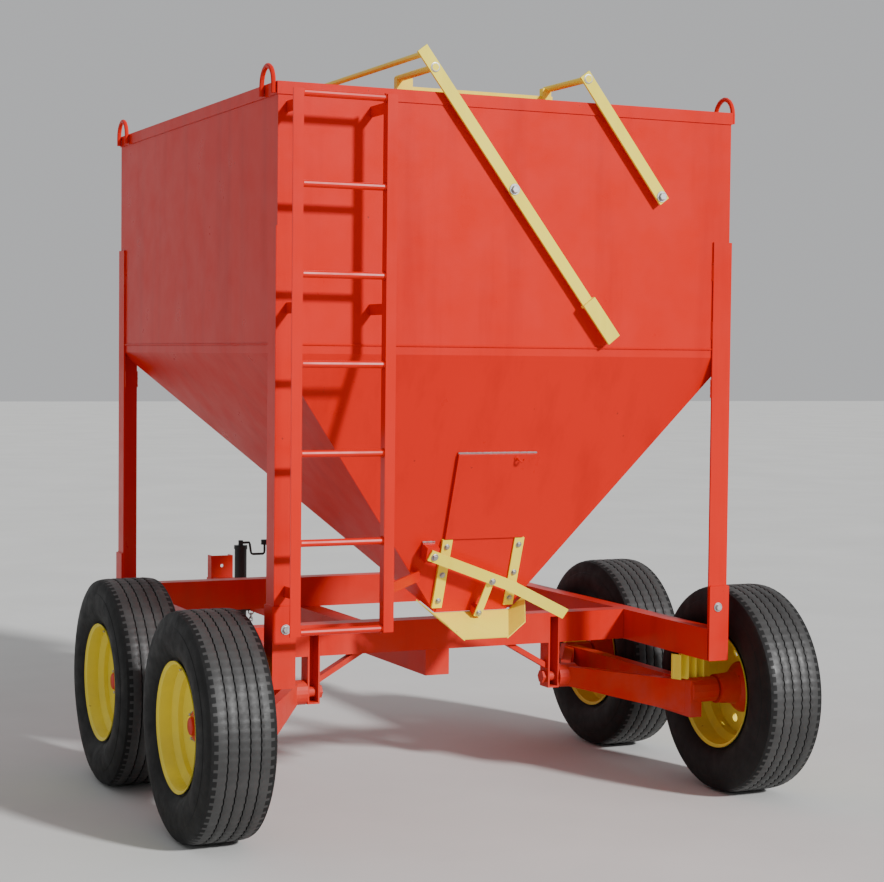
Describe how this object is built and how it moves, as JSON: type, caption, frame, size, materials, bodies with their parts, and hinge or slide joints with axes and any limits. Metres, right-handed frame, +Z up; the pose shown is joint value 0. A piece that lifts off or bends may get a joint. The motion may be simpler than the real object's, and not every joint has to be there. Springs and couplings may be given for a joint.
{
  "type": "gravity wagon",
  "caption": "Red gravity grain wagon on walking tandem wheels, with a sliding discharge door, a rear ladder and a lid on swinging arms.",
  "frame": {"origin": "centre of the plan's bounding box, on the ground", "axes": "+X to the wagon's right side, +Y forward to the hitch, +Z up"},
  "size_m": [2.475, 3.7094, 2.8054],
  "materials": {
    "red_paint": "satin",
    "yellow_paint": "satin",
    "rubber": "matt",
    "bare_steel": "satin",
    "black_paint": "matt"
  },
  "bodies": {
    "frame": {"chute": "yellow_paint", "corner_post_front_left": "red_paint", "corner_post_front_right": "red_paint", "corner_post_rear_left": "red_paint", "corner_post_rear_right": "red_paint", "door_cover": "red_paint", "door_guide_left": "yellow_paint", "door_guide_right": "yellow_paint", "front_cross_beam": "red_paint", "hanger_left": "red_paint", "hanger_right": "red_paint", "hitch_clevis": "red_paint", "hopper_box": "red_paint", "hopper_slopes": "red_paint", "jack_tube": "black_paint", "ladder_rail_left": "red_paint", "ladder_rail_right": "red_paint", "ladder_rung_1": "red_paint", "ladder_rung_2": "red_paint", "ladder_rung_3": "red_paint", "ladder_rung_4": "red_paint", "ladder_rung_5": "red_paint", "ladder_rung_6": "red_paint", "ladder_rung_7": "red_paint", "lever_bracket": "red_paint", "lifting_eye_front_left": "red_paint", "lifting_eye_front_right": "red_paint", "lifting_eye_rear_left": "red_paint", "lifting_eye_rear_right": "red_paint", "pivot_pin_left": "red_paint", "pivot_pin_right": "red_paint", "post_socket_front_left": "red_paint", "post_socket_front_right": "red_paint", "post_socket_rear_left": "red_paint", "post_socket_rear_right": "red_paint", "rear_cross_beam": "red_paint", "side_beam_left": "red_paint", "side_beam_right": "red_paint", "tongue": "red_paint", "top_deck": "red_paint"},
    "tandem_left": {"walking_beam_left": "red_paint"},
    "tandem_right": {"walking_beam_right": "red_paint"},
    "roller_rear_left": {"tyre_rear_left": "rubber", "wheel_rear_left": "yellow_paint"},
    "roller_rear_right": {"tyre_rear_right": "rubber", "wheel_rear_right": "yellow_paint"},
    "roller_front_left": {"tyre_front_left": "rubber", "wheel_front_left": "yellow_paint"},
    "roller_front_right": {"tyre_front_right": "rubber", "wheel_front_right": "yellow_paint"},
    "lid_linkage": {"lid_lever": "yellow_paint"},
    "lid_follower_rear": {"lid_arm_rear": "yellow_paint"},
    "lid_follower_front": {"lid_arm_front": "yellow_paint"},
    "hatch_lid": {"lid": "yellow_paint"},
    "discharge_door": {"door": "red_paint"},
    "discharge_lever": {"door_lever": "yellow_paint"},
    "discharge_link": {"door_link": "yellow_paint"},
    "jack_handle": {"jack_crank": "black_paint"},
    "jack_ram": {"jack_leg": "bare_steel"},
    "hitch_pin": {"draw_pin": "bare_steel"}
  },
  "joints": [
    {"name": "tandem_pivot_left", "type": "hinge", "parent": "frame", "child": "tandem_left", "pos_m": [-0.57, -0.93729, 0.40742], "axis": [1, 0, 0], "range_deg": [-8, 8]},
    {"name": "tandem_pivot_right", "type": "hinge", "parent": "frame", "child": "tandem_right", "pos_m": [0.57, -0.93729, 0.40742], "axis": [1, 0, 0], "range_deg": [-8, 8]},
    {"name": "axle_rear_left", "type": "hinge", "parent": "tandem_left", "child": "roller_rear_left", "pos_m": [-1.102, -1.44729, 0.40742], "axis": [1, 0, 0], "continuous": true},
    {"name": "axle_rear_right", "type": "hinge", "parent": "tandem_right", "child": "roller_rear_right", "pos_m": [1.102, -1.44729, 0.40742], "axis": [1, 0, 0], "continuous": true},
    {"name": "axle_front_left", "type": "hinge", "parent": "tandem_left", "child": "roller_front_left", "pos_m": [-1.102, -0.42729, 0.40742], "axis": [1, 0, 0], "continuous": true},
    {"name": "axle_front_right", "type": "hinge", "parent": "tandem_right", "child": "roller_front_right", "pos_m": [1.102, -0.42729, 0.40742], "axis": [1, 0, 0], "continuous": true},
    {"name": "lid_lever_pivot", "type": "hinge", "parent": "frame", "child": "lid_linkage", "pos_m": [-0.022, -1.64429, 2.312], "axis": [0, 1, 0], "range_deg": [0, 74]},
    {"name": "lid_arm_pivot_rear", "type": "hinge", "parent": "frame", "child": "lid_follower_rear", "pos_m": [0.593, -1.64429, 2.312], "axis": [0, 1, 0], "range_deg": [0, 74]},
    {"name": "lid_arm_pivot_front", "type": "hinge", "parent": "frame", "child": "lid_follower_front", "pos_m": [0.593, 0.40171, 2.312], "axis": [0, 1, 0], "range_deg": [0, 74]},
    {"name": "lid_pin", "type": "hinge", "parent": "lid_linkage", "child": "hatch_lid", "pos_m": [-0.34038, -0.62129, 2.72692], "axis": [0, 1, 0], "range_deg": [-74, 0]},
    {"name": "door_lever_pivot", "type": "hinge", "parent": "frame", "child": "discharge_lever", "pos_m": [-0.219, -1.4156, 0.96675], "axis": [0, -0.9422, -0.3351], "range_deg": [0, 56.6]},
    {"name": "door_slide", "type": "slide", "parent": "frame", "child": "discharge_door", "axis": [0, -0.3351, 0.9422], "range_m": [0, 0.262]},
    {"name": "door_link_pin", "type": "hinge", "parent": "discharge_lever", "child": "discharge_link", "pos_m": [0.038, -1.36993, 0.86518], "axis": [0, -0.9422, -0.3351], "range_deg": [-47.1, 0]},
    {"name": "jack_crank_shaft", "type": "hinge", "parent": "frame", "child": "jack_handle", "pos_m": [-0.086, 1.17871, 0.78], "axis": [0, 0, 1], "range_deg": [0, 14320]},
    {"name": "jack_slide", "type": "slide", "parent": "frame", "child": "jack_ram", "axis": [0, 0, 1], "range_m": [0, 0.25]},
    {"name": "draw_pin_lift", "type": "slide", "parent": "frame", "child": "hitch_pin", "axis": [0, 0, 1], "range_m": [0, 0.12]}
  ],
  "couplings": [
    {"joint": "lid_arm_pivot_rear", "follows": "lid_lever_pivot", "ratio": 1},
    {"joint": "lid_arm_pivot_front", "follows": "lid_lever_pivot", "ratio": 1},
    {"joint": "lid_pin", "follows": "lid_lever_pivot", "ratio": -1},
    {"joint": "door_slide", "follows": "door_lever_pivot", "m_per_rad": 0.26519},
    {"joint": "door_link_pin", "follows": "door_lever_pivot", "ratio": -0.832},
    {"joint": "jack_slide", "follows": "jack_crank_shaft", "m_per_rad": 0.001}
  ]
}
